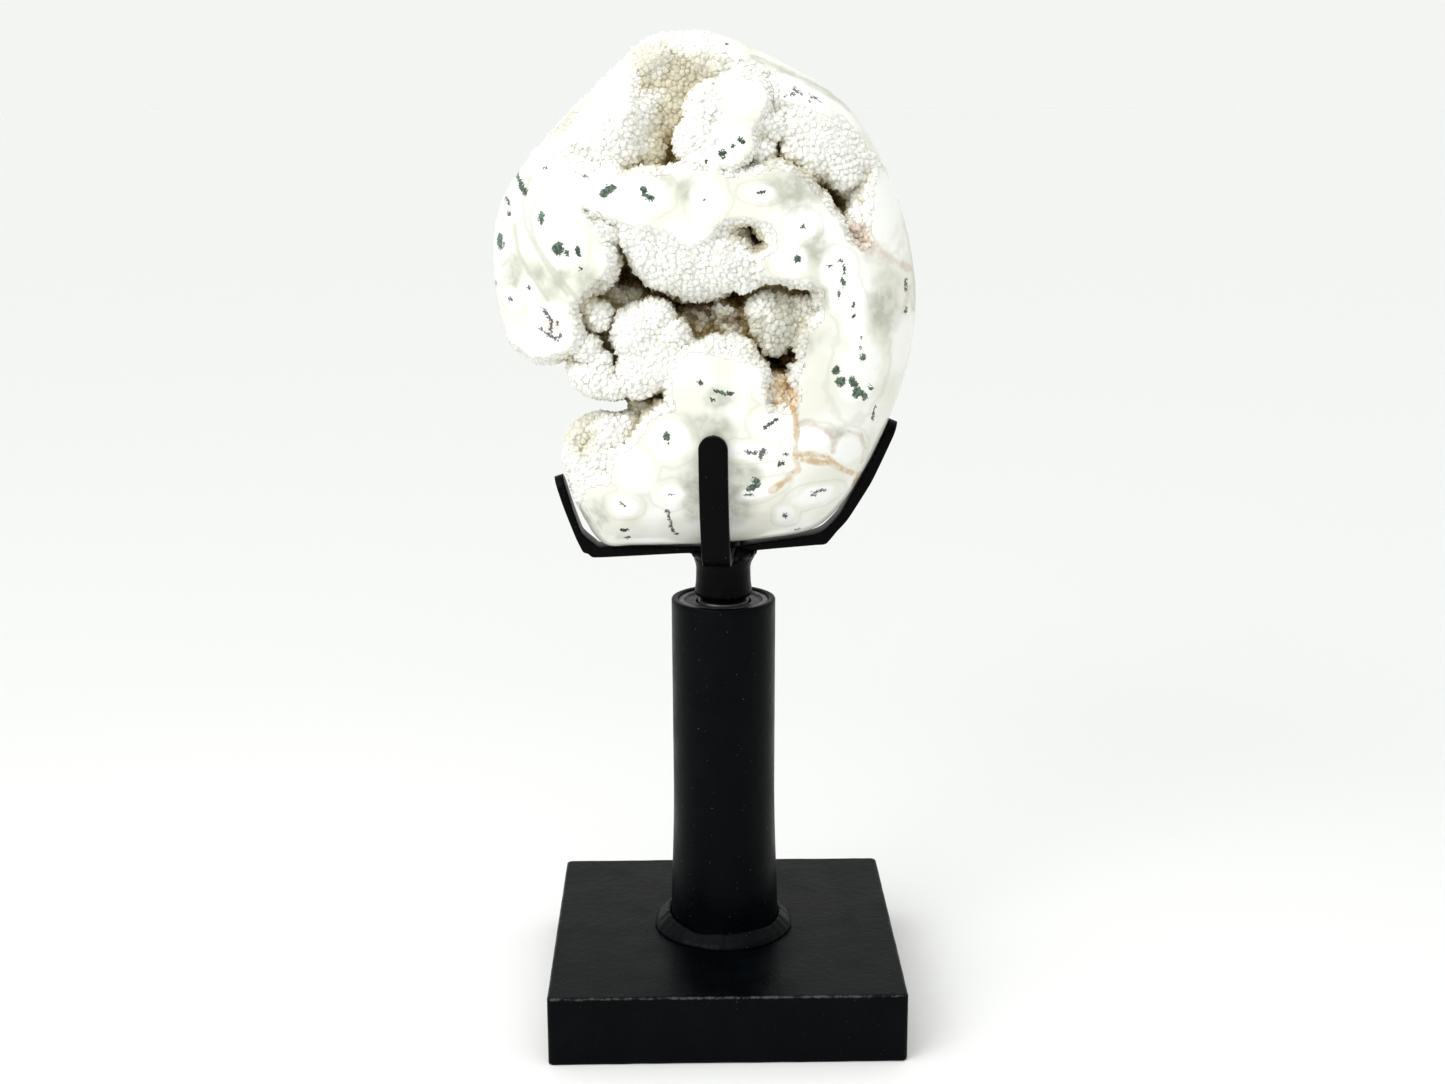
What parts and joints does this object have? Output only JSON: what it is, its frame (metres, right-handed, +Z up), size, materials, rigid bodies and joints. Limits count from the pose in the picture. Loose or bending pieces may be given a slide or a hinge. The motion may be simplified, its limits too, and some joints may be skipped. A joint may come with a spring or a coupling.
{
  "type": "mounted druzy moss agate",
  "caption": "Polished freeform of white moss agate with druzy hollows, cradled by four bent bars on a bearing swivel over a welded tube and square steel base.",
  "frame": {"origin": "centre of the base plate's underside, on the swivel's axis", "axes": "+Z up along the swivel's axis, -Y towards the viewer of the stone's polished and druzy front, +X to that viewer's right"},
  "size_m": [0.1172, 0.1, 0.2797],
  "materials": {
    "stand_paint": "black paint, satin, worn pale along the plate's front edge",
    "cradle_paint": "black paint, gloss, lumpy over the welds",
    "bearing_steel": "ground steel, dulled",
    "bearing_shield": "pressed steel shield, dull grey",
    "polished_agate": "high polish, milky white with dark green moss spots, rusty veins and clear grey bands",
    "druzy_quartz": "sugary crust of small pointed quartz crystals, beige in the hollows"
  },
  "bodies": {
    "stand": {"base_plate": "stand_paint", "column_tube": "stand_paint", "foot_weld": "stand_paint", "bearing_outer_ring": "bearing_steel", "bearing_shield": "bearing_shield"},
    "cradle": {"bearing_inner_ring": "bearing_steel", "swivel_stem": "cradle_paint", "left_arm": "cradle_paint", "right_arm": "cradle_paint", "front_arm": "cradle_paint", "rear_arm": "cradle_paint", "agate": "polished_agate", "druzy_crust_lower": "druzy_quartz", "druzy_crust_upper": "druzy_quartz"}
  },
  "joints": [
    {"name": "stone_swivel", "type": "hinge", "parent": "stand", "child": "cradle", "pos_m": [0, 0, 0.1165], "axis": [0, 0, 1], "continuous": true}
  ]
}
